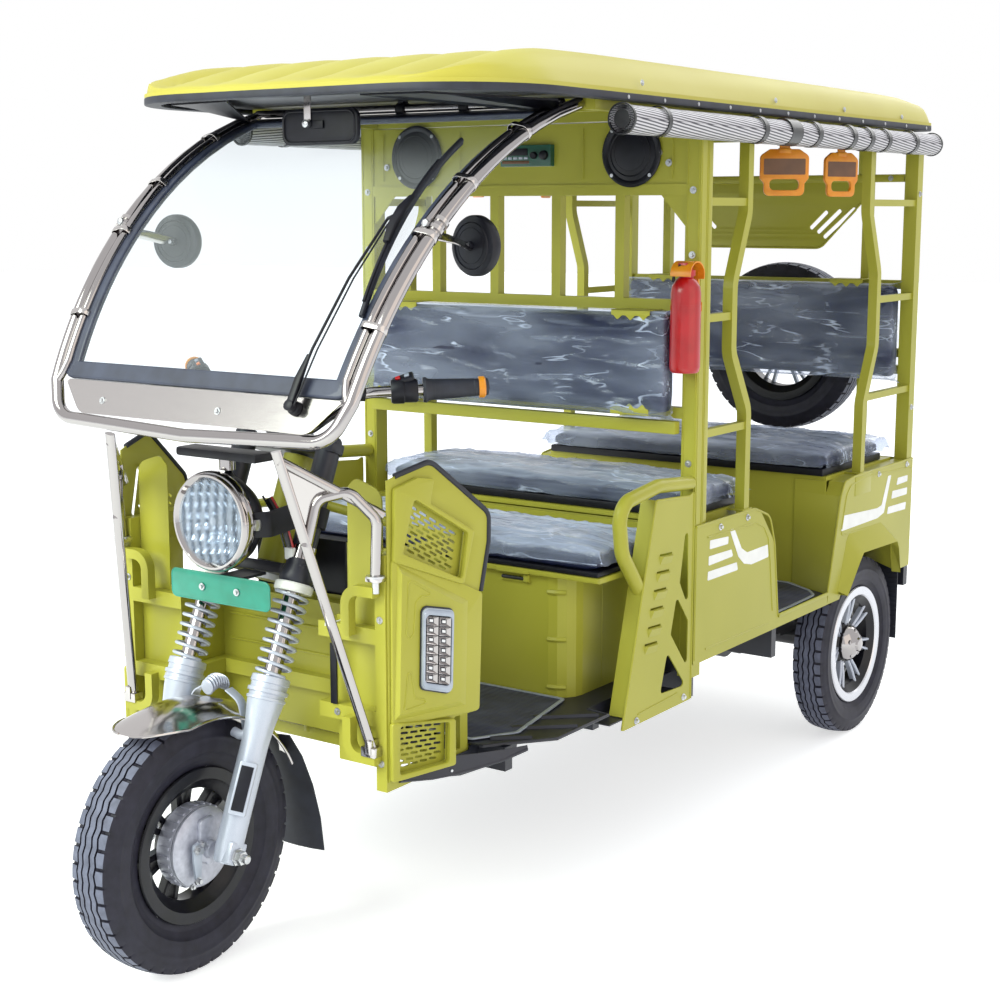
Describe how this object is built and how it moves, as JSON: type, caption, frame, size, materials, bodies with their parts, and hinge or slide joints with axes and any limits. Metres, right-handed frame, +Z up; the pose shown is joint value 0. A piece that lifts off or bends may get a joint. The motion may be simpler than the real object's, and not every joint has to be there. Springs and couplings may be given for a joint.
{
  "type": "electric auto rickshaw",
  "caption": "Three-wheeled electric passenger rickshaw with a moulded roof, open ladder-rail sides, facing passenger benches and a sprung steering fork.",
  "frame": {"origin": "on the ground below the front face of the posts behind the driver, on the centre plane", "axes": "+Y to the rear, +X to the vehicle's left, +Z up"},
  "size_m": [1.0926, 2.817, 1.792],
  "materials": {
    "body_paint": "satin gloss olive lime enamel",
    "roof_paint": "moulded yellow green fibreglass",
    "black_paint": "semi gloss black enamel",
    "stainless": "polished stainless sheet",
    "chrome": "bright plated tube",
    "rubber": "matt black rubber",
    "tyre": "matt black tread",
    "alloy": "machined silver alloy",
    "fork_silver": "silver paint",
    "clear_glass": "clear laminated glass",
    "black_plastic": "moulded black plastic",
    "vinyl": "dark navy vinyl under clear film",
    "lamp_lens": "moulded lamp lens",
    "orange_plastic": "moulded orange plastic",
    "red_paint": "gloss red enamel",
    "curtain_cloth": "striped white sheeting",
    "floor_mat": "ribbed black mat",
    "plate_green": "green plate with no text",
    "dark_steel": "dark painted steel",
    "black_alloy": "gloss black cast alloy",
    "mirror": "silvered mirror in a black case"
  },
  "bodies": {
    "body": {"backrests": "vinyl", "battery_pack": "black_plastic", "bench_boxes": "body_paint", "bench_cushions": "vinyl", "chassis_frame": "black_paint", "corner_lamps": "lamp_lens", "cowl_wings": "body_paint", "crash_guards": "stainless", "curtain_rolls": "curtain_cloth", "driver_seat_box": "body_paint", "fire_extinguisher": "red_paint", "floor_mats": "floor_mat", "floor_pan": "black_paint", "front_cowl": "body_paint", "front_frame": "body_paint", "grab_handles": "orange_plastic", "ladder_rails": "body_paint", "leaf_springs": "dark_steel", "mirrors": "mirror", "partition_frame": "body_paint", "rear_axle": "dark_steel", "rear_body": "body_paint", "rear_bumper": "black_paint", "rear_frame": "body_paint", "rear_mud_flaps": "rubber", "rear_upper_panel": "body_paint", "roof_frame": "body_paint", "roof_shell": "roof_paint", "roof_trim": "rubber", "side_guards": "body_paint", "side_panels": "body_paint", "spare_rim": "alloy", "spare_tyre": "tyre", "speakers_radio": "black_plastic", "tail_lamps": "lamp_lens", "windscreen_glass": "clear_glass", "windscreen_panel": "stainless", "windscreen_seal": "rubber", "windscreen_tubes": "chrome", "wiper": "black_plastic"},
    "steering": {"fork": "fork_silver", "fork_springs": "alloy", "handlebar": "chrome", "headlamp": "chrome", "number_plate": "plate_green", "front_fender": "stainless"},
    "front_wheel": {"front_tyre": "tyre", "front_rim": "black_alloy"},
    "rear_wheel_left": {"rear_tyre_left": "tyre", "rear_rim_left": "alloy"},
    "rear_wheel_right": {"rear_tyre_right": "tyre", "rear_rim_right": "alloy"},
    "seat_lid": {"driver_seat_lid": "body_paint", "driver_cushion": "vinyl"}
  },
  "joints": [
    {"name": "steering_turn", "type": "hinge", "parent": "body", "child": "steering", "pos_m": [0, -1.10858, 0.23342], "axis": [0, 0.3907, 0.9205], "range_deg": [-38, 38]},
    {"name": "front_wheel_spin", "type": "hinge", "parent": "steering", "child": "front_wheel", "pos_m": [0, -1.15, 0.251], "axis": [1, 0, 0], "continuous": true},
    {"name": "rear_wheel_left_spin", "type": "hinge", "parent": "body", "child": "rear_wheel_left", "pos_m": [0.42, 1.015, 0.251], "axis": [1, 0, 0], "continuous": true},
    {"name": "rear_wheel_right_spin", "type": "hinge", "parent": "body", "child": "rear_wheel_right", "pos_m": [-0.42, 1.015, 0.251], "axis": [1, 0, 0], "continuous": true},
    {"name": "seat_lid_hinge", "type": "hinge", "parent": "body", "child": "seat_lid", "pos_m": [0, -0.082, 0.6685], "axis": [-1, 0, 0], "range_deg": [0, 70]}
  ]
}
